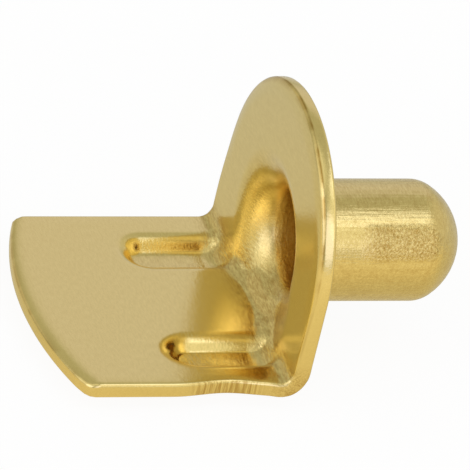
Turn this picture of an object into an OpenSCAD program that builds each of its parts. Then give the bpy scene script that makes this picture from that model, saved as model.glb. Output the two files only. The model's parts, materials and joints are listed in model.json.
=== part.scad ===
// Shelf support pin: one piece of sheet, blanked, drawn and folded.
// The tab carries the shelf, the flange bears on the cabinet side, and the hollow pin,
// drawn out of the flange, plugs into a hole of the cabinet side.
// X runs along the pin, Y across the part and Z up. The origin lies on the pin's axis,
// in the plane of the flange's back face.

/* [Sheet] */
// Thickness of the sheet
sheet_t = 0.7; // [0.5:0.05:0.9]
// Inside radius of the fold between the tab and the flange
fold_r = 0.55; // [0.3:0.05:0.9]
// Width of the part
body_w = 12; // [11:0.1:16]

/* [Tab] */
// Length of the tab, from the flange's back face to the middle of its curved end
tab_len = 10.4; // [8:0.1:16]
// Radius of the tab's curved end
tab_end_r = 16; // [10:0.5:40]

/* [Flange] */
// Height of the flange, from the tab's underside to its round top
flange_h = 10.5; // [9.5:0.1:14]

/* [Pin] */
// Diameter of the pin
pin_d = 5; // [4.4:0.1:5.4]
// Length of the pin, from the flange's back face to its tip
pin_len = 7.5; // [5:0.1:12]
// Height of the pin's axis above the tab's top face
pin_rise = 3; // [2.8:0.05:3.4]
// Thickness of the pin's drawn wall at the end of the mouth
pin_wall = 0.3; // [0.25:0.05:0.6]
// How much smaller the radius of the hollow is at its end than at the end of the mouth
hollow_taper = 0.3; // [0.1:0.05:0.6]
// Thickness of the pin's domed end
end_wall = 0.6; // [0.4:0.05:1.2]
// Radius of the shoulder between the pin's side and its domed end
shoulder_r = 1.3; // [0.8:0.05:1.8]
// How much larger the radius of the domed end is than the radius of the pin
dome_ease = 0.2; // [0.05:0.05:2]
// Radius at the pin's root, where it leaves the flange's back face
root_r = 0.3; // [0.1:0.05:0.4]
// Radius of the drawn mouth in the flange's inner face
mouth_r = 1.5; // [0.8:0.05:1.6]

/* [Stiffening beads] */
// Distance from the middle of the part to the middle of each bead
bead_y = 3.45; // [3.2:0.05:3.6]
// Width of each bead's flat floor
bead_floor_w = 1.1; // [0.6:0.05:1.4]
// Depth of each bead
bead_depth = 0.55; // [0.3:0.05:0.6]
// Slope of each bead's sides, in degrees
bead_slope = 35; // [30:1:40]
// Radius over which the tab's top face rolls over into the sides of each bead
bead_lip_r = 1.2; // [0.6:0.05:1.2]
// Length of the bead on the +Y side, from the flange's inner face to its round tip
bead_len = 4.9; // [4:0.05:6]
// How much longer the bead on the -Y side is
bead_len_extra = 0.2; // [0:0.05:1]

/* [Hidden] */

$fn = 96;
reach = 40;                               // further than any face of the part
pin_r = pin_d/2;
pin_straight = pin_len - domed_height(pin_r, shoulder_r);
bore_r = pin_r - pin_wall;
hollow_end_r = bore_r - hollow_taper;
hollow_shoulder_r = 0.7*hollow_end_r;
hollow_straight = pin_len - end_wall - domed_height(hollow_end_r, hollow_shoulder_r);
tab_top = -pin_rise;
tab_bottom = tab_top - sheet_t;
flange_inner = -sheet_t;                  // X of the flange's inner face
flange_top = tab_bottom + flange_h;
fold_outer_r = fold_r + sheet_t;
bead_half_w = bead_floor_w/2 + bead_depth/tan(bead_slope) + bead_lip_r*tan(bead_slope/2);

// Angle off the pin's axis at which the domed end runs into its shoulder
function dome_angle(r, shoulder) = asin((r - shoulder)/(r + dome_ease - shoulder));

// Height of a domed end above the straight side below it
function domed_height(r, shoulder) =
    r + dome_ease - (r + dome_ease - shoulder)*cos(dome_angle(r, shoulder));

// Half section of a domed end of radius r on a straight or tapered foot: its axis is Y
module domed_section(r, shoulder, straight, foot_r, foot) {
    dome_r = r + dome_ease;
    angle = dome_angle(r, shoulder);
    dome_y = straight - (dome_r - shoulder)*cos(angle);
    seam = [dome_r*sin(angle), dome_y + dome_r*cos(angle)];
    polygon([[0, foot], [foot_r, foot], [r, straight], seam, [0, seam.y]]);
    intersection() {
        translate([0, dome_y]) circle(dome_r);
        translate([0, seam.y]) square([seam.x, dome_r]);
    }
    intersection() {
        translate([r - shoulder, straight]) circle(shoulder);
        translate([0, straight]) square([r, seam.y - straight]);
    }
}

// Half section of the radius between a face at y = 0 and a round wall at x = r, which
// the radius blends over the given distance
module blend_section(r, blend) {
    difference() {
        square([r + blend, blend]);
        translate([r + blend, blend]) circle(blend);
    }
}

// Turns a half section about its Y axis, and lays that axis along the pin
module turned() {
    rotate([0, 90, 0]) rotate_extrude() children();
}

// Stretches a side view, drawn with X and Z, over a width across the part
module across(width) {
    translate([0, width/2, 0]) rotate([90, 0, 0]) linear_extrude(width) children();
}

// Side view of all that lies left of a corner and above it, with the corner rounded
module corner_view(corner, r) {
    translate(corner + [-reach, r]) square(reach);
    translate(corner + [-reach - r, 0]) square(reach);
    translate(corner + [-r, r]) circle(r);
}

// Side view of the folded sheet, with its outside lowered by a given depth
module fold_view(lowered = 0) {
    difference() {
        corner_view([0, tab_bottom - lowered], fold_outer_r + lowered);
        corner_view([flange_inner, tab_top], fold_r);
    }
}

// Top view of the tab: a strip with a curved free end
module tab_view() {
    end_middle = tab_end_r - tab_len;
    intersection() {
        translate([-tab_len, -body_w/2]) square([tab_len, body_w]);
        union() {
            translate([end_middle, 0]) circle(tab_end_r, $fn = 2*$fn);
            translate([end_middle, -reach]) square(2*reach);
        }
    }
}

// End view of the flange, drawn with Z and Y: straight sides and a round top
module flange_view() {
    round_middle = flange_top - body_w/2;
    translate([round_middle, 0]) circle(body_w/2);
    translate([round_middle - reach, -body_w/2]) square([reach, body_w]);
}

// Half section of a bead: the face at y = 0 rolls over a lip into the sloping side, which
// runs down to the edge of the flat floor
module bead_section() {
    side_top = [bead_half_w, 0] + bead_lip_r*[-sin(bead_slope), cos(bead_slope) - 1];
    foot = [bead_floor_w/2, -bead_depth];
    difference() {
        translate([0, -bead_depth]) square([bead_half_w, bead_depth + fold_r/2]);
        translate([bead_half_w, -bead_lip_r]) circle(bead_lip_r);
        polygon([foot, side_top, [bead_half_w, side_top.y], [bead_half_w, foot.y]]);
    }
}

// A bar along the tab with a bead's section and a round tip, len long from the flange:
// it turns up at the fold, with its face at the given radius from the fold's axis
module bead_bar(len, turn_r) {
    tip = flange_inner - len + bead_half_w;
    translate([tip, 0, 0]) rotate_extrude() bead_section();
    for (side = [0, 1]) mirror([0, side, 0]) {
        translate([tip, 0, 0]) rotate([90, 0, 90])
            linear_extrude(-fold_outer_r - tip) bead_section();
        translate([-fold_outer_r, 0, turn_r]) rotate([90, 0, 0]) rotate_extrude()
            translate([turn_r, 0]) rotate(90) bead_section();
    }
}

// Places a bead on each side of the pin in a face at the given height
module both_beads(height, turn_r) {
    for (side = [-1, 1]) translate([0, side*bead_y, height])
        bead_bar(side > 0 ? bead_len : bead_len + bead_len_extra, turn_r);
}

// The metal that the beads push out below the tab and round the fold
module bead_metal() {
    intersection() {
        both_beads(tab_bottom, fold_outer_r);
        across(body_w) fold_view(bead_depth);
        translate([-reach, -reach, tab_top - 2*reach]) cube(2*reach);
    }
}

// The grooves of the beads: they fade out in the inside of the fold
module bead_grooves() {
    intersection() {
        both_beads(tab_top, fold_r);
        across(body_w) corner_view([flange_inner, tab_top - bead_depth], fold_r);
    }
}

// The folded sheet with its beads, before the pin is drawn
module folded_sheet() {
    intersection() {
        difference() {
            union() {
                across(body_w) fold_view();
                bead_metal();
            }
            bead_grooves();
        }
        translate([0, 0, -reach]) linear_extrude(2*reach) tab_view();
        translate([reach, 0, 0]) rotate([0, -90, 0]) linear_extrude(2*reach) flange_view();
    }
}

// The closed pin, with the radius at its root
module pin_metal() {
    turned() {
        domed_section(pin_r, shoulder_r, pin_straight, pin_r, -sheet_t/2);
        blend_section(pin_r, root_r);
    }
}

// The tapered hollow of the pin, with its wide mouth: it stops at the tab's top face
module pin_hollow() {
    mouth_w = bore_r + mouth_r;
    mouth_end = flange_inner + mouth_r;
    intersection() {
        turned() {
            domed_section(hollow_end_r, hollow_shoulder_r, hollow_straight, bore_r, mouth_end);
            translate([0, flange_inner]) {
                blend_section(bore_r, mouth_r);
                polygon([[0, 0], [mouth_w, 0], [mouth_w + fold_r, -fold_r], [0, -fold_r]]);
            }
        }
        translate([-reach, -reach, tab_top]) cube(2*reach);
    }
}

module support_pin() {
    color([0.84, 0.70, 0.38])
    difference() {
        union() {
            folded_sheet();
            pin_metal();
        }
        pin_hollow();
    }
}

support_pin();
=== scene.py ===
"""Dresses the shelf support pin: the pressed sheet, its brass plating and the studio round it."""

import json
import logging
from collections.abc import Callable, Iterable
from dataclasses import dataclass, field
from enum import Enum
from functools import reduce
from math import acos, asin, cos, exp, hypot, pi, radians, sin, sqrt, tan

import bmesh
import bpy
from mathutils import Matrix, Vector


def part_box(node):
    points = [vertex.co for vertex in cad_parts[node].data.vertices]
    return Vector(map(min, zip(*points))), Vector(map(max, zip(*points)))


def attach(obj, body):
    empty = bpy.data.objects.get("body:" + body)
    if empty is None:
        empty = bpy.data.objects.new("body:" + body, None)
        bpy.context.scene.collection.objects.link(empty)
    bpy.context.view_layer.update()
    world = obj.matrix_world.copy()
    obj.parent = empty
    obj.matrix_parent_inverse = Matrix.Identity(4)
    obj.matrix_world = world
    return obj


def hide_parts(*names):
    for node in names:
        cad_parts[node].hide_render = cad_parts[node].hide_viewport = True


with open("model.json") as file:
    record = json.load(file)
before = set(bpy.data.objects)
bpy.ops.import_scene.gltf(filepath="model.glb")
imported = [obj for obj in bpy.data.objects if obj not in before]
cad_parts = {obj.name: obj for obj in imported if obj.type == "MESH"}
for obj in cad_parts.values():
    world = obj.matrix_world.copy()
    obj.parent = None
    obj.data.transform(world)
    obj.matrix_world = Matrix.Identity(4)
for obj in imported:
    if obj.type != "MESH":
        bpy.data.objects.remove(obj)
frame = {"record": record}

MM = 0.001
NODE = "support_pin"
BODY = "root"
PIECE_NAME = "pressed_brass_sheet"
BOUNCES = 16
GLOSSY_BOUNCES = 14
WHITE = (1.0, 1.0, 1.0, 1.0)

# A point of the blank counts as inside a ring only up to this share of the ring's radius.
JUST_INSIDE = 0.9999
# Shape of a bevel that is a quarter-round.
ROUND = 0.5

# Two values between which something starts or ends softly.
Span = tuple[float, float]
# Where a straight rise or fall starts and ends, and its values there.
Ramp = tuple[float, float, float, float]
Color = tuple[float, float, float, float]
Triple = tuple[float, float, float]
Socket = bpy.types.NodeSocket
Vert = bmesh.types.BMVert
Edges = list[bmesh.types.BMEdge]

logging.basicConfig(level=logging.INFO, format="%(message)s")
log = logging.getLogger("shelf_support_pin")


def eased(low: float, high: float, value: float) -> float:
    """Return a share that rises smoothly from 0, where the value is low, to 1, where it is high."""
    share = min(1.0, max(0.0, (value - low) / (high - low)))
    return share * share * (3.0 - 2.0 * share)


def mixed(first: float, second: float, share: float) -> float:
    """Return the value that lies the given share of the way from first to second."""
    return first + (second - first) * share


def lesser(first: float, second: float, blend: float) -> float:
    """Return the lesser of two values, softened where they are less than the blend apart."""
    near = max(0.0, blend - abs(first - second)) / blend
    return min(first, second) - near * near * blend / 4.0


def graded(start: float, spans: tuple[tuple[float, int], ...]) -> list[float]:
    """Lay out places in even steps that change from span to span.

    Args:
        start: The first place.
        spans: The end of each span and how many steps it has.

    Returns:
        The places, from the start to the end of the last span.
    """
    places = [start]
    for end, steps in spans:
        first = places[-1]
        places += [mixed(first, end, number / steps) for number in range(1, steps + 1)]
    return places


def placed(bm: bmesh.types.BMesh, name: str) -> bpy.types.Object:
    """Turn a bmesh into an object of the scene.

    Args:
        bm: The bmesh, which is freed.
        name: The object's name.

    Returns:
        The object.
    """
    mesh = bpy.data.meshes.new(name)
    bm.to_mesh(mesh)
    bm.free()
    made = bpy.data.objects.new(name, mesh)
    bpy.context.scene.collection.objects.link(made)
    return made


class Skin(Enum):
    """The two faces of the sheet."""

    INNER = "inner"
    OUTER = "outer"


class Mark(Enum):
    """What the tools left on the surface, each kept as a share from 0 to 1 at every point; the
    hollow's and the land's shares also place painted shade.
    """

    WORKED = "worked"
    DRAWN = "drawn"
    HOLLOW = "hollow"
    CUT = "cut"
    LAND = "land"


def crown_angle(radius: float, shoulder: float, dome: float) -> float:
    """Return the angle off the pin's axis at which a dome runs into its shoulder."""
    return asin((radius - shoulder) / (dome - shoulder))


@dataclass(frozen=True)
class DrawnProfile:
    """Half section of the drawn pin: a straight wall, a shoulder and a domed end."""

    radius: float  # Radius at the wall's foot
    end_radius: float  # Radius at the wall's other end
    shoulder: float
    dome: float
    foot: float  # Where its straight wall starts along the axis
    straight_end: float  # Where that ends
    taper_power: float = 1.0  # How much of its taper the wall has near its foot: 1 makes it even
    crown_rings: int = 10  # Rings of points in each stretch, from the middle out
    shoulder_rings: int = 10
    wall_rings: int = 20

    @property
    def rings(self) -> int:
        """Return how many rings the whole profile takes."""
        return self.crown_rings + self.shoulder_rings + self.wall_rings

    def at(self, share: float) -> tuple[float, float]:
        """Find a point of the profile.

        Args:
            share: 0 at the middle of the domed end, 1 at the foot of the wall.

        Returns:
            The distance from the axis, and the place along it.
        """
        ring = share * self.rings
        crown = crown_angle(self.end_radius, self.shoulder, self.dome)
        if ring <= self.crown_rings:
            angle = crown * ring / self.crown_rings
            dome_middle = self.straight_end - (self.dome - self.shoulder) * cos(crown)
            return self.dome * sin(angle), dome_middle + self.dome * cos(angle)
        ring -= self.crown_rings
        if ring <= self.shoulder_rings:
            angle = mixed(crown, pi / 2, ring / self.shoulder_rings)
            out = self.end_radius - self.shoulder + self.shoulder * sin(angle)
            return out, self.straight_end + self.shoulder * cos(angle)
        run = (ring - self.shoulder_rings) / self.wall_rings
        radius = mixed(self.end_radius, self.radius, run ** self.taper_power)
        return radius, mixed(self.straight_end, self.foot, run)


@dataclass(frozen=True)
class Bead:
    """A stiffening bead that is pressed down along the tab, into the fold."""

    depth: float  # Depth of the floor's middle
    middle: float  # Place across the part
    tip: float  # Place along the tab
    floor_width: float
    tip_length: float = 1.0  # How long its tip is, as a share of a round one
    slope: float = 50.0  # Slope of its sides in degrees
    lip_radius: float = 0.8 * MM  # Radius over which the tab rolls into its sides
    floor_sag: float = 0.04 * MM  # How much higher the floor's edge is than its middle
    foot_blend: float = 0.03 * MM  # How softly the sides meet the floor

    @property
    def half_width(self) -> float:
        """Return half of its width, between the places at which its lips start."""
        slope = radians(self.slope)
        return self.floor_width / 2 + self.depth / tan(slope) + self.lip_radius * tan(slope / 2)

    def depth_at(self, x: float, y: float) -> float:
        """Find how far the bead presses the sheet at one place.

        Args:
            x: Place along the tab.
            y: Place across it.

        Returns:
            The depth there.
        """
        half = self.half_width
        past_end = max(0.0, self.tip + half * self.tip_length - x) / self.tip_length
        out = hypot(y - self.middle, past_end)
        inset = max(0.0, half - out)
        slope = radians(self.slope)
        rolled = min(inset, self.lip_radius * sin(slope))
        side = self.lip_radius - sqrt(self.lip_radius ** 2 - rolled ** 2)
        side += (inset - rolled) * tan(slope)
        sag = self.floor_sag * min(1.0, 2 * out / self.floor_width) ** 2
        return max(0.0, lesser(side, self.depth - sag + self.foot_blend / 4, self.foot_blend))


@dataclass(frozen=True)
class PinMouth:
    """The hollow's flared mouth in the flange, which runs down into the fold as an arch."""

    rim: float = 3.72 * MM  # How far from the axis the flare starts
    flare: float = 1.7 * MM  # How far the flare reaches in from there
    depth: float = 1.2 * MM  # How deep the flare goes along the axis
    arch: float = 0.9  # How much less the height below the axis counts than the width
    near_swell: float = 0.35  # How much wider it is low down on the near side, as a share
    swell_reach: float = 2.5 * MM  # How far across the near side it takes to be that wide
    ramp_slope: float = 0.9  # Slope of the ramp that rises out of the fold's corner
    ramp_run: float = 3.0 * MM  # Length over which the ramp levels off
    sill: float = 0.5 * MM  # Width of the rounded sill between the ramp and the throat
    blend: float = 0.12 * MM  # How softly the flare and the ramp meet
    # How crisp the rim is: 2 makes a plain quarter-round, less a crisper one
    rim_power: float = 1.45
    # How much of the quarter-round there is, so that it runs into the tapered hollow
    turn: float = 0.982

    @property
    def throat(self) -> float:
        """Return the radius at which the flare ends."""
        return self.rim - self.flare

    def bowl(self, inset: float, reach: float, depth: float) -> float:
        """Return the depth of a bowl, whose rim is crisp and whose end is a little open."""
        share = self.turn * min(1.0, max(0.0, inset / reach)) ** self.rim_power
        return depth * (1.0 - sqrt(1.0 - share)) / (1.0 - sqrt(1.0 - self.turn))

    def depth_at(self, y: float, z: float, rise: float) -> float:
        """Find how deep the mouth is at one place.

        Args:
            y: Place across the part.
            z: Height above the pin's axis.
            rise: Height above the tab.

        Returns:
            The depth behind the flange's front face.
        """
        out = hypot(y, z)
        rim = self.rim * out / hypot(y, z if z > 0 else z * self.arch)
        rim *= 1.0 + self.near_swell * eased(0.0, self.swell_reach, -y) * max(0.0, -z / out)
        flare = self.bowl(rim - out, rim - self.throat, self.depth)
        ramp = self.ramp_slope * self.ramp_run * (1.0 - exp(-max(0.0, rise) / self.ramp_run))
        ramp += self.bowl(self.throat + self.sill - out, self.sill, self.depth)
        return max(0.0, lesser(flare, ramp, self.blend))


@dataclass(frozen=True)
class NearEdge:
    """The tab's near edge, which the press draws in beside the near bead."""

    inset: float = 0.2 * MM  # How far in the whole edge lies
    # Places along the part between which that ends, at the fold
    inset_end: Span = (-1.6 * MM, -0.4 * MM)
    pull: float = 0.24 * MM  # How much further in the bead draws it
    pull_middle: float = -3.25 * MM  # Where along the part it draws most
    pull_reach: float = 2.3 * MM  # How far from there the pull ends
    start: float = -4.9 * MM  # Where across the part the sheet starts to move

    def moved(self, x: float, y: float, edge: float) -> float:
        """Find how far the sheet is drawn in at one place.

        Args:
            x: Place along the part.
            y: Place across it.
            edge: Where the edge lies across the part before that.

        Returns:
            The distance towards the middle.
        """
        along = abs(x - self.pull_middle) / self.pull_reach
        pull = self.pull * (1.0 - eased(0.0, 1.0, along))
        inset = self.inset * (1.0 - eased(*self.inset_end, x))
        return eased(self.start, edge, y) * (pull + inset)


@dataclass(frozen=True)
class CutEdge:
    """What the blanking has done to the inner face beside the cut."""

    roll: float = 0.14 * MM  # How far it has rolled the face down
    roll_reach: float = 0.8 * MM  # How far in from the cut the roll starts
    roll_rise: Span = (-1.5 * MM, 2.0 * MM)  # Heights between which the flange's roll grows whole
    tab_side: float = 0.25  # Share of the roll that the tab's straight sides have
    lean: float = 0.1 * MM  # How far the cut leans in at the flange's near side
    lean_reach: float = 0.4 * MM  # How far in from the cut the lean starts
    lean_end: Span = (-3.0 * MM, 1.0 * MM)  # Places across the part between which that ends
    lean_rise: Span = (-1.0 * MM, 2.0 * MM)  # Heights between which it starts

    def rolled(self, inset: float, share: float) -> float:
        """Return the depth of the given share of the roll at an inset from the cut."""
        return self.roll * share * max(0.0, 1.0 - inset / self.roll_reach) ** 2

    def leaned(self, place: Vector, inset: float) -> float:
        """Return how far the cut leans in at a place of the flange and an inset from the cut."""
        near = (1.0 - eased(*self.lean_end, place.y)) * eased(*self.lean_rise, place.z)
        return self.lean * near * max(0.0, 1.0 - inset / self.lean_reach) ** 2


@dataclass(frozen=True)
class ToolMarks:
    """How much the tools have worked the surface, and where."""

    # Distances from the fold line between which the fold's marks end
    fold: Span = (0.2 * MM, 1.1 * MM)
    # Distances past the mouth's rim between which the mouth's marks end
    rim: Span = (-0.5 * MM, 0.1 * MM)
    upper: float = 0.35  # Share of them that the mouth's upper part has
    # Heights above the tab between which they become that few
    upper_rise: Span = (0.5 * MM, 1.5 * MM)
    pin: float = 0.5  # How worked the pin's outside is
    bead: float = 0.15  # How worked the beads are
    bead_depths: Span = (0.0, 0.4)  # Shares of their depth between which that starts
    floor: float = 0.2  # How much more their floors are
    floor_depths: Span = (0.85, 1.0)  # Shares of their depth between which that starts
    bead_end: Span = (0.0, 1.0 * MM)  # Heights above the tab between which these end
    # Distances past the throat between which the unpolished hollow ends; it is rougher there, and
    # carries painted shade
    hollow: Span = (-0.3 * MM, 0.6 * MM)


@dataclass
class PressedSheet:
    """The one piece of sheet: blanked, drawn, pressed with its beads and folded.

    It is modelled as it is made. Each face starts as a flat blank, which stands in the plane of
    the flange with its middle on the pin's axis: Y runs across it, and Z is its height above the
    axis, down to the end of the unfolded tab. The press then takes each point to its place.
    """

    # Overall sizes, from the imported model
    pin_radius: float = field(init=False)
    pin_length: float = field(init=False)
    half_width: float = field(init=False)
    tab_length: float = field(init=False)
    tab_top: float = field(init=False)
    flange_top: float = field(init=False)
    beads: tuple[Bead, Bead] = field(init=False)
    profiles: dict[Skin, DrawnProfile] = field(init=False)
    bm: bmesh.types.BMesh = field(init=False)
    sheet: float = 0.7 * MM
    fold_radius: float = 0.55 * MM  # Inside radius of the fold
    mouth_fold_radius: float = 0.12 * MM  # The same where the mouth runs into the fold
    # Distances from the middle between which that changes
    mouth_fold: Span = (0.6 * MM, 2.2 * MM)
    bore_end_radius: float = 1.62 * MM  # Radius of the hollow at its wall's end
    bore_shoulder: float = 0.7  # Radius of its shoulder, as a share of that
    bore_length: float = 5.32 * MM  # Where its wall ends
    bore_taper_power: float = 1.9  # How much of its taper lies near its mouth
    shoulder: float = 1.3 * MM  # Radius of the pin's shoulder
    dome_ease: float = 0.2 * MM  # How much larger a dome's radius is than its wall's
    root_radius: float = 0.3 * MM
    tab_end_radius: float = 16.0 * MM  # Radius of the tab's curved end
    corner_radius: float = 0.25 * MM  # Radius of the tab's two corners
    inner_rim_radius: float = 0.15 * MM  # Radius of the inner face's arris
    outer_rim_radius: float = 0.14 * MM  # Radius of the outer face's arris
    # Heights above the tab between which the beads fade out inside
    inner_run_out: Span = (-1.0 * MM, 0.8 * MM)
    outer_run_out: Span = (0.5 * MM, 2.0 * MM)  # The same on the outside
    edge_column: float = 0.3 * MM  # Width of the outermost column of faces
    # Where the columns' width changes across the part
    column_spans: tuple[tuple[float, int], ...] = (
        (-5.3 * MM, 6),
        (-1.6 * MM, 60),
        (1.6 * MM, 22),
        (5.3 * MM, 60),
        (5.8 * MM, 6),
    )
    # Where the lines' spacing changes along the tab
    line_spans: tuple[tuple[float, int], ...] = ((5.6 * MM, 64), (9.5 * MM, 16))
    last_line: float = 0.9 * MM  # How far from the tab's end these lines stop
    # How far from the tab's end the last lines lie
    end_insets: tuple[float, ...] = tuple(
        inset * MM for inset in (0.75, 0.65, 0.56, 0.48, 0.4, 0.32, 0.0)
    )
    fold_lines: int = 14  # Lines on the tab's side of the fold
    fold_reach: float = 1.1  # Where they end, in fold radii
    side_points: int = 150  # Points round the flange
    mouth_rings: int = 22  # Rings of points in the mouth or the root radius
    face_rings: int = 20  # Rings on the flat of the flange
    first_ring: float = 1.4  # How far in from the cut they start, in outermost columns
    ring_crowding: float = 1.4  # How much they crowd towards the cut: 1 makes them even
    rim_segments: int = 4  # Faces across each arris
    mouth: PinMouth = PinMouth()
    near_edge: NearEdge = NearEdge()
    cut_edge: CutEdge = CutEdge()
    tools: ToolMarks = ToolMarks()

    def __post_init__(self) -> None:
        """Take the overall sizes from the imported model, and set out the beads and the pin."""
        low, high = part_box(NODE)
        mounts = {mount["name"]: mount for mount in frame["record"]["mounts"]}
        self.pin_radius = mounts["pin"]["dims"]["r_mm"] * MM
        self.pin_length = high.x
        self.half_width = high.y
        self.tab_length = -low.x
        self.tab_top = mounts["tab_top"]["pos_m"][2]
        self.flange_top = high.z
        depth = self.tab_top - self.sheet - low.z
        self.beads = (
            Bead(
                depth,
                middle=3.41 * MM,
                tip=-5.6 * MM,
                floor_width=1.12 * MM,
                slope=46.0,
                foot_blend=0.12 * MM,
            ),
            Bead(depth, middle=-3.48 * MM, tip=-5.75 * MM, floor_width=1.0 * MM, tip_length=1.25),
        )
        self.profiles = {Skin.OUTER: self.pin_profile(), Skin.INNER: self.bore_profile()}
        self.bm = bmesh.new()

    def pin_profile(self) -> DrawnProfile:
        """Lay out the section of the pin's outside.

        Returns:
            The section.
        """
        dome = self.pin_radius + self.dome_ease
        crown = crown_angle(self.pin_radius, self.shoulder, dome)
        return DrawnProfile(
            radius=self.pin_radius,
            end_radius=self.pin_radius,
            shoulder=self.shoulder,
            dome=dome,
            foot=self.root_radius,
            straight_end=self.pin_length - (dome - (dome - self.shoulder) * cos(crown)),
        )

    def bore_profile(self) -> DrawnProfile:
        """Return the section of the hollow behind its mouth."""
        return DrawnProfile(
            radius=self.mouth.throat,
            end_radius=self.bore_end_radius,
            shoulder=self.bore_end_radius * self.bore_shoulder,
            dome=self.bore_end_radius + self.dome_ease,
            foot=self.mouth.depth - self.sheet,
            straight_end=self.bore_length,
            taper_power=self.bore_taper_power,
        )

    # The flat blank

    def outline(self) -> list[Vector]:
        """Lay out the ring of points round the flange's part of the blank.

        Returns:
            The points, from the fold line's near end round the top and back along that line.
        """
        half, foot = self.half_width, self.tab_top
        middle = self.flange_top - half
        straight = middle - foot
        whole = 2 * straight + pi * half
        points = []
        for number in range(self.side_points):
            run = whole * number / self.side_points
            if run < straight:
                points.append(Vector((0, -half, foot + run)))
            elif run > whole - straight:
                points.append(Vector((0, half, foot + whole - run)))
            else:
                angle = (run - straight) / half
                points.append(Vector((0, -half * cos(angle), middle + half * sin(angle))))
        points.append(Vector((0, half, foot)))
        for across in reversed(graded(self.edge_column - half, self.column_spans)):
            points.append(Vector((0, across, foot)))
        return points

    def blank(self, skin: Skin) -> None:
        """Build the flat blank of one face.

        Args:
            skin: The face to build.
        """
        # How far each point of the outline is from the axis, which extruding hands on inwards
        reach = self.bm.verts.layers.float["reach"]
        outline = self.outline()
        made = bmesh.ops.create_circle(self.bm, segments=len(outline), radius=self.half_width)
        ring = made["verts"]
        for vert, place in zip(ring, outline):
            vert.co = place
            vert[reach] = place.length
        edges = list({edge for vert in ring for edge in vert.link_edges})
        fold_points = {ring[0], *ring[self.side_points:]}
        fold_line = [edge for edge in edges if fold_points.issuperset(edge.verts)]
        self.pin_rings(self.flange_rings(edges, skin), skin)
        self.tab_lines(fold_line)

    def flange_rings(self, edges: Edges, skin: Skin) -> Edges:
        """Fill the flange's part of the blank with rings, from its outline in to the throat.

        Args:
            edges: The outline.
            skin: The face.

        Returns:
            The ring round the throat.
        """
        reach = self.bm.verts.layers.float["reach"]
        throat = self.profiles[skin].radius
        blend = self.mouth.flare if skin is Skin.INNER else self.root_radius
        mouth_share = blend / (self.half_width - throat)
        first_share = 1.0 - self.edge_column / self.half_width * self.first_ring
        for number in reversed(range(self.mouth_rings + self.face_rings)):
            if number <= self.mouth_rings:
                share = mouth_share * (1.0 - cos(pi / 2 * number / self.mouth_rings))
            else:
                step = (number - self.mouth_rings) / (self.face_rings - 1)
                share = mixed(first_share, mouth_share, (1.0 - step) ** self.ring_crowding)
            edges = self.extruded(
                edges, lambda vert: vert.co.normalized() * mixed(throat, vert[reach], share)
            )
        return edges

    def pin_rings(self, edges: Edges, skin: Skin) -> None:
        """Fill the throat with the rings that become the pin, and close its middle.

        Args:
            edges: The ring round the throat.
            skin: The face.
        """
        profile = self.profiles[skin]
        for number in reversed(range(1, profile.rings)):
            edges = self.extruded(
                edges, lambda vert: vert.co.normalized() * profile.radius * number / profile.rings
            )
        cap = bmesh.ops.contextual_create(self.bm, geom=edges)["faces"]
        bmesh.ops.poke(self.bm, faces=cap)

    def tab_lines(self, edges: Edges) -> None:
        """Build the tab's part of the blank, line by line.

        Args:
            edges: The fold line.
        """
        fold = (self.fold_radius * self.fold_reach, self.fold_lines)
        for run in graded(0.0, (fold, *self.line_spans))[1:]:
            edges = self.extruded(edges, lambda vert: self.tab_point(vert.co.y, run))
        for inset in self.end_insets:
            edges = self.extruded(edges, lambda vert: self.end_point(vert.co.y, inset))

    def tab_end(self, across: float) -> float:
        """Return how far the tab runs from the fold line at a place across it."""
        end_middle = self.tab_end_radius - self.tab_length
        return sqrt(self.tab_end_radius ** 2 - across ** 2) - end_middle - self.sheet

    def tab_point(self, across: float, run: float) -> Vector:
        """Find a point of the flat tab.

        Args:
            across: Its place across the part.
            run: How far it is from the fold line at the tab's longest.

        Returns:
            Its place in the blank.
        """
        even = self.line_spans[0][0]
        last = self.line_spans[-1][0]
        if run > even:
            end = self.tab_end(across) - self.last_line
            run = mixed(even, end, (run - even) / (last - even))
        return Vector((0, across, self.tab_top - run))

    def end_point(self, across: float, inset: float) -> Vector:
        """Find the point of the flat tab that lies at an inset from its curved end."""
        return Vector((0, across, self.tab_top - self.tab_end(across) + inset))

    def extruded(self, edges: Edges, place: Callable[[Vert], Vector]) -> Edges:
        """Extrude a run of edges and move the new points.

        Args:
            edges: The edges to extrude.
            place: Says where each new point goes.

        Returns:
            The new run of edges.
        """
        made = bmesh.ops.extrude_edge_only(self.bm, edges=edges)["geom"]
        fresh = {item for item in made if isinstance(item, Vert)}
        for vert in fresh:
            vert.co = place(vert)
        return [item for item in made if item not in fresh and fresh.issuperset(item.verts)]

    # The press

    def folded(self, blank: Vector, skin: Skin) -> Vector:
        """Fold a point of the blank.

        Args:
            blank: Its place in the blank.
            skin: The face that it is on.

        Returns:
            Its place on the folded sheet.
        """
        above = blank.z - self.tab_top
        thickness = 0.0
        radius = self.fold_radius
        if skin is Skin.INNER:
            by_mouth = 1.0 - eased(*self.mouth_fold, abs(blank.y))
            radius = mixed(radius, self.mouth_fold_radius, by_mouth)
        else:
            thickness = self.sheet
        if above >= radius:
            return Vector((thickness - self.sheet, blank.y, blank.z))
        if above <= -radius:
            return Vector((above - self.sheet, blank.y, self.tab_top - thickness))
        bent = radius + thickness
        middle = Vector((-self.sheet - radius, blank.y, self.tab_top + radius))
        if skin is Skin.INNER:
            angle = pi / 2 * (above + radius) / (2 * radius)
        elif above >= 0:
            angle = acos((middle.z - blank.z) / bent)
        else:
            angle = acos(radius / bent) * (above + radius) / radius
        return middle + Vector((sin(angle), 0, -cos(angle))) * bent

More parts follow.
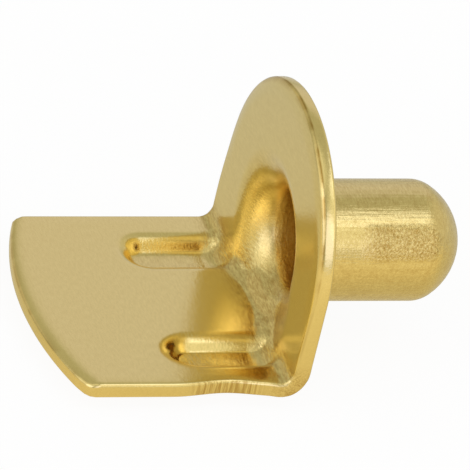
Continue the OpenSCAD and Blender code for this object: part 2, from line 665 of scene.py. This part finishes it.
    def draw_depth(self, place: Vector, skin: Skin) -> float:
        """Find how far the draw of the pin carries the sheet along the pin.

        Args:
            place: Where the point is.
            skin: The face.

        Returns:
            The distance along the axis.
        """
        if skin is Skin.INNER:
            return self.mouth.depth_at(place.y, place.z, place.z - self.tab_top)
        radius = self.root_radius
        inset = self.pin_radius + radius - hypot(place.y, place.z)
        share = min(1.0, max(0.0, inset / radius))
        return radius * (1.0 - sqrt(1.0 - share * share))

    def in_pin(self, blank: Vector, skin: Skin) -> bool:
        """Tell whether a point of the blank lies inside the throat, and becomes the pin."""
        return hypot(blank.y, blank.z) < self.profiles[skin].radius * JUST_INSIDE

    def pressed(self, blank: Vector, skin: Skin) -> Vector:
        """Take a point of the blank to its place in the finished part.

        Args:
            blank: Its place in the blank.
            skin: The face that it is on.

        Returns:
            Its place in the part.
        """
        if self.in_pin(blank, skin):
            profile = self.profiles[skin]
            out = hypot(blank.y, blank.z)
            radius, along = profile.at(out / profile.radius)
            scale = radius / out if out > 0 else 0.0
            return Vector((along, blank.y * scale, blank.z * scale))
        place = self.folded(blank, skin)
        above = blank.z - self.tab_top
        run_out = self.inner_run_out if skin is Skin.INNER else self.outer_run_out
        bead = sum(item.depth_at(place.x, place.y) for item in self.beads)
        place.z -= bead * (1.0 - eased(*run_out, above))
        place.y += self.near_edge.moved(place.x, place.y, -self.half_width)
        if above > 0:
            place.x += self.draw_depth(place, skin)
        if skin is Skin.INNER:
            rolled = self.edge_roll(blank)
            place += Vector((rolled, 0, 0)) if above > 0 else Vector((0, 0, -rolled))
            place += self.cut_lean(blank)
        return place

    def cut_lean(self, blank: Vector) -> Vector:
        """Return how a point of the inner face moves where the cut leans in."""
        outward = Vector((0, blank.y, max(0.0, blank.z - self.flange_top + self.half_width)))
        return outward.normalized() * -self.cut_edge.leaned(blank, self.half_width - outward.length)

    def edge_roll(self, blank: Vector) -> float:
        """Find how far the inner face is rolled down at a point.

        Args:
            blank: Its place in the blank.

        Returns:
            The depth there.
        """
        cut = self.cut_edge
        if blank.z > self.tab_top:
            round_middle = self.flange_top - self.half_width
            inset = self.half_width - hypot(blank.y, max(0.0, blank.z - round_middle))
            return cut.rolled(inset, eased(*cut.roll_rise, blank.z))
        side = self.half_width - abs(blank.y)
        end = self.tab_end(blank.y) - (self.tab_top - blank.z)
        return max(cut.rolled(end, 1.0), cut.rolled(side, cut.tab_side))

    def marks(self, blank: Vector, skin: Skin) -> dict[Mark, float]:
        """Find what the tools left at a point of the blank, off its cut edges.

        Args:
            blank: Its place in the blank.
            skin: The face that it is on.

        Returns:
            The share of each mark.
        """
        tools = self.tools
        out = hypot(blank.y, blank.z)
        above = blank.z - self.tab_top
        drawn = 1.0 if self.in_pin(blank, skin) else 0.0
        stretched = drawn * tools.pin
        hollow = 0.0
        if skin is Skin.INNER:
            stretched = 1.0 - eased(*tools.rim, out - self.mouth.rim)
            stretched *= mixed(1.0, tools.upper, eased(*tools.upper_rise, above))
            hollow = 1.0 - eased(*tools.hollow, out - self.mouth.throat)
        place = self.folded(blank, skin)
        sunk = max(item.depth_at(place.x, place.y) / item.depth for item in self.beads)
        pressed = tools.bead * eased(*tools.bead_depths, sunk)
        pressed += tools.floor * eased(*tools.floor_depths, sunk)
        pressed *= 1.0 - eased(*tools.bead_end, above)
        bent = 1.0 - eased(*tools.fold, abs(above))
        return {
            Mark.WORKED: max(bent, stretched, pressed),
            Mark.DRAWN: drawn,
            Mark.HOLLOW: hollow,
        }

    def rounded_corner(self, blank: Vector) -> Vector:
        """Round the tab's two corners in the blank.

        Args:
            blank: A point of the blank.

        Returns:
            Its place with the corners rounded.
        """
        end = self.tab_end(blank.y)
        radius = self.corner_radius
        across = 1.0 - (self.half_width - abs(blank.y)) / radius
        along = 1.0 - (end - (self.tab_top - blank.z)) / radius
        if across <= 0 or along <= 0:
            return blank
        scale = max(across, along) / hypot(across, along)
        side = 1.0 if blank.y > 0 else -1.0
        rounded_y = side * (self.half_width - radius * (1.0 - across * scale))
        return Vector((0, rounded_y, self.tab_top - end + radius * (1.0 - along * scale)))

    def close_rim(self, outer: set[Vert]) -> None:
        """Close the sheet at its cut edges, and round their arrises.

        Args:
            outer: The outer face's points.
        """
        cut = self.bm.verts.layers.float[Mark.CUT.value]
        land = self.bm.verts.layers.float[Mark.LAND.value]
        rims = [edge for edge in self.bm.edges if edge.is_boundary]
        for edge in rims:
            for vert in edge.verts:
                vert[cut] = 1.0
                vert[land] = 1.0 if vert in outer else 0.0
        bmesh.ops.bridge_loops(self.bm, edges=rims)
        bmesh.ops.recalc_face_normals(self.bm, faces=self.bm.faces)
        outer_rim = [edge for edge in rims if edge.verts[0] in outer]
        inner_rim = [edge for edge in rims if edge.verts[0] not in outer]
        arrises = ((inner_rim, self.inner_rim_radius), (outer_rim, self.outer_rim_radius))
        for rim, radius in arrises:
            bmesh.ops.bevel(
                self.bm,
                geom=rim,
                affect="EDGES",
                offset=radius,
                segments=self.rim_segments,
                profile=ROUND,
            )
        bmesh.ops.recalc_face_normals(self.bm, faces=self.bm.faces)

    def face(self, skin: Skin) -> set[Vert]:
        """Build one face of the finished part.

        Args:
            skin: The face.

        Returns:
            Its points.
        """
        before = set(self.bm.verts)
        self.blank(skin)
        verts = set(self.bm.verts) - before
        layers = {mark: self.bm.verts.layers.float[mark.value] for mark in Mark}
        for vert in verts:
            for mark, share in self.marks(vert.co, skin).items():
                vert[layers[mark]] = share
            vert.co = self.pressed(self.rounded_corner(vert.co), skin)
        return verts

    def build(self) -> bpy.types.Object:
        """Build the whole sheet.

        Returns:
            The finished piece.
        """
        for name in ("reach", *(mark.value for mark in Mark)):
            self.bm.verts.layers.float.new(name)
        self.face(Skin.INNER)
        self.close_rim(self.face(Skin.OUTER))
        for face in self.bm.faces:
            face.smooth = True
        return placed(self.bm, PIECE_NAME)


@dataclass(frozen=True)
class Grain:
    """Noise in the object's own space."""

    counts: Triple  # How many grains there are in a millimetre along X, Y and Z
    detail: float = 2.0  # How many finer layers it has
    roughness: float = 0.5  # How strong they are


@dataclass
class NodeBench:
    """Adds nodes to a tree and wires them up."""

    tree: bpy.types.NodeTree

    def feed(self, sockets: Iterable[Socket], *sources: object) -> None:
        """Give each of a row of sockets a link or a plain value.

        Args:
            sockets: The row of sockets.
            sources: What goes into them.
        """
        for source, socket in zip(sources, sockets):
            if isinstance(source, Socket):
                self.tree.links.new(source, socket)
            else:
                socket.default_value = source

    def supply(self, node: bpy.types.Node, sources: dict[str, object]) -> bpy.types.Node:
        """Feed sockets of a node by their names, and return it."""
        self.feed([node.inputs[name] for name in sources], *sources.values())
        return node

    def add(self, kind: str, *sources: object, **settings: object) -> bpy.types.Node:
        """Add a node.

        Args:
            kind: Its type.
            sources: What goes into its first sockets.
            settings: Its properties.

        Returns:
            The node.
        """
        node = self.tree.nodes.new(kind)
        for name, value in settings.items():
            setattr(node, name, value)
        self.feed(node.inputs, *sources)
        return node

    def math(self, operation: str, *sources: object) -> Socket:
        """Add a Math node and return its result."""
        return self.add("ShaderNodeMath", *sources, operation=operation).outputs[0]

    def product(self, *sources: object) -> Socket:
        """Multiply two or more values."""
        return reduce(lambda first, second: self.math("MULTIPLY", first, second), sources)

    def total(self, *sources: object) -> Socket:
        """Add up two or more values."""
        return reduce(lambda first, second: self.math("ADD", first, second), sources)

    def mark(self, mark: Mark) -> Socket:
        """Read one of the surface's marks."""
        return self.add("ShaderNodeAttribute", attribute_name=mark.value).outputs["Fac"]

    def place(self) -> Socket:
        """Read the place on the object."""
        return self.add("ShaderNodeTexCoord").outputs["Object"]

    def axis(self, name: str) -> Socket:
        """Read the place on the object along one axis."""
        return self.add("ShaderNodeSeparateXYZ", self.place()).outputs[name]

    def facing(self, place: Socket, direction: Triple | Vector) -> Socket:
        """Return how far a place lies in a direction."""
        node = self.add("ShaderNodeVectorMath", place, direction, operation="DOT_PRODUCT")
        return node.outputs["Value"]

    def ramp(self, source: Socket, ramp: tuple[object, ...], kind: str = "LINEAR") -> Socket:
        """Map a value by a rise or fall that is held beyond both its ends."""
        return self.add("ShaderNodeMapRange", source, *ramp, interpolation_type=kind).outputs[0]

    def tint(self, share: Socket, first: object, second: object) -> Socket:
        """Mix two colours, with the given share of the second."""
        node = self.add("ShaderNodeMix", share, data_type="RGBA")
        return self.supply(node, {"A": first, "B": second}).outputs["Result"]

    def noise(self, grain: Grain) -> Socket:
        """Add noise.

        Args:
            grain: What it is like.

        Returns:
            The noise, around a half.
        """
        scale = [count / MM for count in grain.counts]
        place = self.add("ShaderNodeVectorMath", self.place(), scale, operation="MULTIPLY")
        sources = {"Vector": place.outputs[0], "Scale": 1.0}
        sources |= {"Detail": grain.detail, "Roughness": grain.roughness}
        return self.supply(self.add("ShaderNodeTexNoise"), sources).outputs["Fac"]


@dataclass(frozen=True)
class ScuffedPatch:
    """The soft patch on the pin's side where handling has scuffed it."""

    direction: Triple = (0.0, -0.846, 0.533)  # Direction from the pin's axis to its middle
    side: Ramp = (2.36 * MM, 2.44 * MM, 0.0, 1.0)  # How it starts towards that direction
    start: Ramp = (2.5 * MM, 3.3 * MM, 0.0, 1.0)  # How it starts along the pin
    end: Ramp = (6.1 * MM, 6.5 * MM, 1.0, 0.0)  # How it ends along the pin
    height: float = 0.05  # Height of its grain in millimetres
    shade: float = 0.55  # Share of the plating's shade in its pits

    def mask(self, bench: NodeBench) -> Socket:
        """Find where it is.

        Args:
            bench: Where the nodes go.

        Returns:
            1 where it is and 0 where it isn't.
        """
        side = bench.ramp(bench.facing(bench.place(), self.direction), self.side)
        start, end = (bench.ramp(bench.axis("X"), ramp) for ramp in (self.start, self.end))
        return bench.product(side, start, end)


@dataclass(frozen=True)
class CutWear:
    """The fine lines across the cut edges, the dark streaks on them, and a line of painted shade
    along the crease by their inner arris.
    """

    height: float = 0.004  # Height of the lines in millimetres
    # Lines that run up and down on the tab's edges
    tab_grain: Grain = Grain((8.0, 8.0, 0.6), detail=3.0, roughness=0.6)
    # Lines that run along the part on the flange's edges
    flange_grain: Grain = Grain((0.6, 8.0, 8.0), detail=3.0, roughness=0.6)
    # Where along the part the first give way to these
    turn: Span = (-1.5 * MM, -0.6 * MM)
    streaks: Ramp = (0.40, 0.62, 1.0, 0.0)  # Which lines are dark streaks
    bead_middle: float = -3.3 * MM  # Place of the beads' middle
    # How dark the streaks are by their distance from there
    by_bead: Ramp = (1.0 * MM, 1.9 * MM, 0.75, 0.08)
    # Place of the painted shade line along the crease, as a share of the way from the inner face to
    # the outer
    painted_crease_shade: float = 0.07
    painted_crease_edge: Ramp = (0.03, 0.16, 1.0, 0.0)  # How it fades at its sides
    painted_crease_grain: Grain = Grain((1.1, 1.1, 1.1))  # Noise that breaks it
    painted_crease_breaks: Ramp = (0.40, 0.58, 0.35, 1.0)  # How much of it the noise leaves
    painted_crease_rise: Ramp = (1.0 * MM, 3.6 * MM, 0.35, 1.0)  # How dark it is by its height
    painted_crease_foot: Ramp = (-2.4 * MM, -1.2 * MM, 0.0, 1.0)  # How it starts at the flange's foot
    painted_crease_end: Ramp = (-7.8 * MM, -6.8 * MM, 0.6, 0.0)  # How dark it is at the tab's end

    def lines(self, bench: NodeBench) -> Socket:
        """Return the noise that is drawn out across the cut edges."""
        noises = (bench.noise(self.tab_grain), bench.noise(self.flange_grain))
        return bench.ramp(bench.axis("X"), (*self.turn, *noises))

    def relief(self, bench: NodeBench) -> Socket:
        """Return the height of the lines in millimetres."""
        return bench.product(self.lines(bench), bench.mark(Mark.CUT), self.height)

    def dark(self, bench: NodeBench) -> Socket:
        """Find how dark the streaks and the painted shade along the crease are.

        Args:
            bench: Where the nodes go.

        Returns:
            The share of the plating's shade in them.
        """
        off_bead = bench.math("ABSOLUTE", bench.total(bench.axis("X"), -self.bead_middle))
        streaks = bench.ramp(self.lines(bench), self.streaks)
        streaks = bench.product(streaks, bench.ramp(off_bead, self.by_bead))
        # Painted shade: a broken dark line along the crease, darker higher up the flange and at the
        # tab's end
        off_painted_crease = bench.math("ABSOLUTE", bench.total(bench.mark(Mark.LAND), -self.painted_crease_shade))
        height = bench.axis("Z")
        rise = bench.product(bench.ramp(height, self.painted_crease_rise), bench.ramp(height, self.painted_crease_foot))
        where = bench.math("MAXIMUM", rise, bench.ramp(bench.axis("X"), self.painted_crease_end))
        broken = bench.ramp(bench.noise(self.painted_crease_grain), self.painted_crease_breaks)
        painted_crease_shade = bench.product(bench.ramp(off_painted_crease, self.painted_crease_edge), broken, where)
        return bench.product(bench.math("MAXIMUM", streaks, painted_crease_shade), bench.mark(Mark.CUT))


@dataclass(frozen=True)
class BrassPlating:
    """The bright yellow plating on the whole part. Heights are in millimetres."""

    color: Color = (0.93, 0.745, 0.305, 1.0)
    shade: Color = (0.51, 0.32, 0.075, 1.0)  # Its darker colour: in the pits of the grain, and for the painted shade in the hollow and along the crease
    # Roughness of the plain sheet and of the worked sheet
    roughness: Ramp = (0.0, 1.0, 0.17, 0.22)
    hollow: float = 0.1  # How much rougher it is inside the pin
    painted_hollow_shade: float = 0.42  # Share of the shade colour painted inside the pin, as painted shade in the hollow
    peel: Ramp = (0.0, 1.0, 0.0035, 0.022)  # Height of the grain on both
    peel_grain: Grain = Grain((9.5, 3.5, 9.5), detail=3.0, roughness=0.6)
    draw_lines: float = 0.016  # Height of the lines along the pin
    draw_grain: Grain = Grain((0.3, 9.0, 9.0))
    # Noise whose low places are pits
    pit_grain: Grain = Grain((12.0, 3.0, 12.0), detail=3.0, roughness=0.65)
    pits: Ramp = (0.36, 0.66, 1.0, 0.0)  # Which places those are
    # Share of the shade in them, by how worked the sheet is
    pit_shade: Ramp = (0.0, 1.0, 0.14, 0.55)
    cloud_grain: Grain = Grain((2.6, 1.6, 2.6))  # Noise for the blotches of the worked sheet
    clouds: Ramp = (0.46, 0.66, 0.0, 0.26)  # Share of the shade in them
    scuffed: ScuffedPatch = ScuffedPatch()
    cut: CutWear = CutWear()

    def relief(self, bench: NodeBench, scuffed: Socket) -> Socket:
        """Lay out the surface's fine relief.

        Args:
            bench: Where the nodes go.
            scuffed: Where the pin is scuffed.

        Returns:
            The height in millimetres.
        """
        rough = bench.ramp(bench.mark(Mark.WORKED), self.peel)
        rough = bench.total(rough, bench.product(scuffed, self.scuffed.height))
        peel = bench.product(bench.noise(self.peel_grain), rough)
        drawn = bench.product(bench.mark(Mark.DRAWN), self.draw_lines)
        lines = bench.product(bench.noise(self.draw_grain), drawn)
        return bench.total(peel, lines, self.cut.relief(bench))

    def tone(self, bench: NodeBench, scuffed: Socket) -> Socket:
        """Lay out the colour, which is darker in pits, blotches and streaks, and carries painted
        shade in the hollow and along the rim's crease.

        Args:
            bench: Where the nodes go.
            scuffed: Where the pin is scuffed.

        Returns:
            The colour.
        """
        worked = bench.mark(Mark.WORKED)
        amount = bench.product(scuffed, self.scuffed.shade)
        amount = bench.total(bench.ramp(worked, self.pit_shade), amount)
        pits = bench.product(bench.ramp(bench.noise(self.pit_grain), self.pits), amount)
        clouds = bench.product(worked, bench.ramp(bench.noise(self.cloud_grain), self.clouds))
        # Painted shade: the colour darkens towards the shade colour inside the pin's hollow
        painted_hollow_shade = bench.product(bench.mark(Mark.HOLLOW), self.painted_hollow_shade)
        dark = bench.math("MAXIMUM", bench.total(pits, clouds, painted_hollow_shade), self.cut.dark(bench))
        return bench.tint(dark, self.color, self.shade)

    def material(self) -> bpy.types.Material:
        """Make the material.

        Returns:
            The plating's material.
        """
        material = bpy.data.materials.new("brass_plating")
        material.use_nodes = True
        bench = NodeBench(material.node_tree)
        scuffed = self.scuffed.mask(bench)
        dulled = bench.ramp(bench.mark(Mark.WORKED), self.roughness)
        dulled = bench.total(dulled, bench.product(bench.mark(Mark.HOLLOW), self.hollow))
        bump = {"Strength": 1.0, "Distance": MM, "Height": self.relief(bench, scuffed)}
        normal = bench.supply(bench.add("ShaderNodeBump"), bump).outputs["Normal"]
        sources = {"Metallic": 1.0, "Base Color": self.tone(bench, scuffed)}
        sources |= {"Roughness": dulled, "Normal": normal}
        bench.supply(bench.tree.nodes["Principled BSDF"], sources)
        return material


@dataclass(frozen=True)
class LightPanel:
    """A soft round panel in the wall of the light tent."""

    azimuth: float  # Its direction round the part in degrees, from +X towards +Y
    elevation: float  # Its height in degrees
    core: float  # Half angle of its even middle
    edge: float  # Half angle at which it has faded out
    level: float  # What it adds to the tent's level
    tint: Triple = (1.0, 1.0, 1.0)

    @property
    def direction(self) -> Vector:
        """Return the direction towards its middle."""
        turn, height = radians(self.azimuth), radians(self.elevation)
        return Vector((cos(height) * cos(turn), cos(height) * sin(turn), sin(height)))

    @property
    def fade(self) -> Ramp:
        """Return how it fades with the cosine of the angle from its middle."""
        return cos(radians(self.edge)), cos(radians(self.core)), 0.0, 1.0


@dataclass
class Studio:
    """The pale floor, the light tent and the camera."""

    pixel_scale: float = 24.5  # How many pixels a millimetre takes
    image_side: float = 470.0  # The image's side in pixels
    # A point of the corner between the flange and the tab
    corner: Triple = (-0.7 * MM, 0.0, -3.0 * MM)
    corner_pixel: tuple[float, float] = (250.5, 299.5)  # Its place in the image
    right: Triple = (0.939, -0.2798, 0.1996)  # Direction of the image's right side
    back: Triple = (-0.3437, -0.7645, 0.5453)  # Direction from the part to the camera
    distance: float = 0.40  # From the camera to the part
    sensor: float = 36.0  # Width of its sensor in millimetres
    near_clip: float = 0.01  # Nearest distance that it sees
    floor_size: float = 0.6
    floor_gap: float = 0.1 * MM  # How far the floor lies below the part
    floor_color: Color = (0.82, 0.82, 0.82, 1.0)  # The paper's own colour
    floor_roughness: float = 0.9
    floor_specular: float = 0.1
    floor_white: Color = (1.05, 1.05, 1.05, 1.0)  # Its white as the camera sees it
    floor_glow: float = 0.88  # Share of that white in it
    floor_direction: Triple = (-0.2, -0.98, 0.0)  # Direction in which its tones change
    # Its tones as the metal mirrors them, each with its place in millimetres
    floor_tones: tuple[tuple[float, Triple], ...] = (
        (-17.0, (0.59, 0.59, 0.57)),
        (2.5, (0.66, 0.595, 0.40)),
        (7.5, (0.80, 0.69, 0.43)),
        (14.0, (0.86, 0.76, 0.50)),
        (32.0, (0.94, 0.84, 0.59)),
    )
    tent_color: Triple = (0.415, 0.418, 0.335)  # Colour of the tent's wall
    tent_glow: float = 0.1  # Share of white in the wall as the metal mirrors it
    # Each with its azimuth, elevation, core, edge, level and tint
    panels: tuple[LightPanel, ...] = (
        LightPanel(66, 28, 8, 27, 0.205, (1.0, 0.93, 1.65)),
        LightPanel(-10, 10, 15, 70, 0.23, (1.0, 0.88, 0.9)),
        LightPanel(125, 16, 6, 20, 0.12, (1.0, 0.7, 0.5)),
        LightPanel(-152, 22, 13, 30, 0.95, (0.96, 1.0, 1.4)),
        LightPanel(170, 12, 8, 20, 0.45, (0.96, 1.0, 1.2)),
        LightPanel(180, 34, 10, 30, 0.34),
        LightPanel(-152, 70, 8, 24, 0.36),
        LightPanel(-94, 22, 12, 26, 0.80, (0.96, 1.0, 1.7)),
        LightPanel(-60, 42, 10, 34, 0.40, (1.0, 0.97, 0.85)),
        LightPanel(-60, 6, 10, 30, 0.13, (1.0, 0.85, 0.55)),
        LightPanel(-62, 61, 5, 13, 0.45, (0.9, 1.0, 1.5)),
        LightPanel(-40, 63, 5, 12, 0.56, (0.92, 1.0, 1.4)),
        LightPanel(-17, 70, 4, 10, 0.62, (0.92, 1.0, 1.4)),
    )

    def camera(self) -> None:
        """Set the camera at its place, so that the corner comes to its pixel."""
        back = Vector(self.back).normalized()
        up = back.cross(Vector(self.right).normalized()).normalized()
        right = up.cross(back)
        scale = self.pixel_scale / MM
        middle = self.image_side / 2
        aim = Vector(self.corner) + right * (middle - self.corner_pixel[0]) / scale
        aim = aim + up * (self.corner_pixel[1] - middle) / scale
        data = bpy.data.cameras.new("camera")
        data.sensor_fit = "HORIZONTAL"
        data.sensor_width = self.sensor
        data.lens = self.sensor * self.distance * scale / self.image_side
        data.clip_start = self.near_clip
        camera = bpy.data.objects.new("camera", data)
        matrix = Matrix((right, up, back)).transposed().to_4x4()
        matrix.translation = aim + back * self.distance
        camera.matrix_world = matrix
        bpy.context.scene.collection.objects.link(camera)
        bpy.context.scene.camera = camera

    def floor(self) -> None:
        """Lay the floor."""
        low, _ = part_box(NODE)
        bm = bmesh.new()
        bmesh.ops.create_grid(bm, x_segments=1, y_segments=1, size=self.floor_size)
        bmesh.ops.translate(bm, verts=bm.verts, vec=Vector((0, 0, low.z - self.floor_gap)))
        floor = placed(bm, "floor")
        floor.data.materials.append(self.floor_paper())

    def mirrored_tone(self, bench: NodeBench) -> Socket:
        """Lay out the floor's colour as the metal mirrors it: a little warm in front.

        Args:
            bench: Where the nodes go.

        Returns:
            The colour.
        """
        first, last = self.floor_tones[0][0], self.floor_tones[-1][0]
        across = bench.facing(bench.place(), self.floor_direction)
        across = bench.ramp(across, (first * MM, last * MM, 0.0, 1.0))
        node = bench.add("ShaderNodeValToRGB", across)
        elements = node.color_ramp.elements
        while len(elements) < len(self.floor_tones):
            elements.new(1.0)
        for element, (place, tone) in zip(elements, self.floor_tones):
            element.position = (place - first) / (last - first)
            element.color = (*tone, 1.0)
        return node.outputs["Color"]

    def floor_paper(self) -> bpy.types.Material:
        """Make the floor's paper, which is white to the camera.

        Returns:
            The material.
        """
        material = bpy.data.materials.new("floor_paper")
        material.use_nodes = True
        bench = NodeBench(material.node_tree)
        nodes = bench.tree.nodes
        sources = {"Base Color": self.floor_color, "Roughness": self.floor_roughness}
        sources |= {"Specular IOR Level": self.floor_specular}
        shader = bench.supply(nodes["Principled BSDF"], sources)
        path = bench.add("ShaderNodeLightPath").outputs
        mirrored = bench.math("MAXIMUM", path["Is Glossy Ray"], path["Is Transmission Ray"])
        seen = bench.math("MAXIMUM", path["Is Camera Ray"], mirrored)
        color = bench.tint(mirrored, self.floor_white, self.mirrored_tone(bench))
        glow = bench.add("ShaderNodeEmission", color)
        share = bench.product(seen, self.floor_glow)
        surface = bench.add("ShaderNodeMixShader", share, shader.outputs[0], glow.outputs[0])
        bench.feed(nodes["Material Output"].inputs, surface.outputs[0])
        return material

    def tent(self) -> None:
        """Light the scene with a soft tent, which is white to the camera."""
        world = bpy.data.worlds.new("tent")
        bpy.context.scene.world = world
        world.use_nodes = True
        bench = NodeBench(world.node_tree)
        sky = bench.add("ShaderNodeTexCoord").outputs["Generated"]
        light: Socket | Triple = self.tent_color
        for panel in self.panels:
            fade = bench.ramp(bench.facing(sky, panel.direction), panel.fade, "SMOOTHSTEP")
            glow = [panel.level * part for part in panel.tint]
            added = bench.add("ShaderNodeVectorMath", fade, glow, light, operation="MULTIPLY_ADD")
            light = added.outputs["Vector"]
        path = bench.add("ShaderNodeLightPath").outputs
        seen = bench.math("MAXIMUM", path["Is Camera Ray"], path["Is Transmission Ray"])
        mirrored = bench.product(path["Is Glossy Ray"], self.tent_glow)
        share = bench.math("MAXIMUM", seen, mirrored)
        color = bench.tint(share, light, WHITE)
        bench.feed(world.node_tree.nodes["Background"].inputs, color)


def main() -> None:
    """Build the part and its studio, and report each piece."""
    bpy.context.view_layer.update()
    bpy.context.scene.view_settings.view_transform = "Standard"
    bpy.context.scene.cycles.max_bounces = BOUNCES
    bpy.context.scene.cycles.glossy_bounces = GLOSSY_BOUNCES
    studio = Studio()
    studio.camera()
    studio.floor()
    studio.tent()
    sheet = PressedSheet().build()
    sheet.data.materials.append(BrassPlating().material())
    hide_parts(NODE)
    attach(sheet, BODY)
    points, faces = len(sheet.data.vertices), len(sheet.data.polygons)
    log.info("%s: %d points, %d faces", sheet.name, points, faces)


if __name__ == "__main__":
    main()
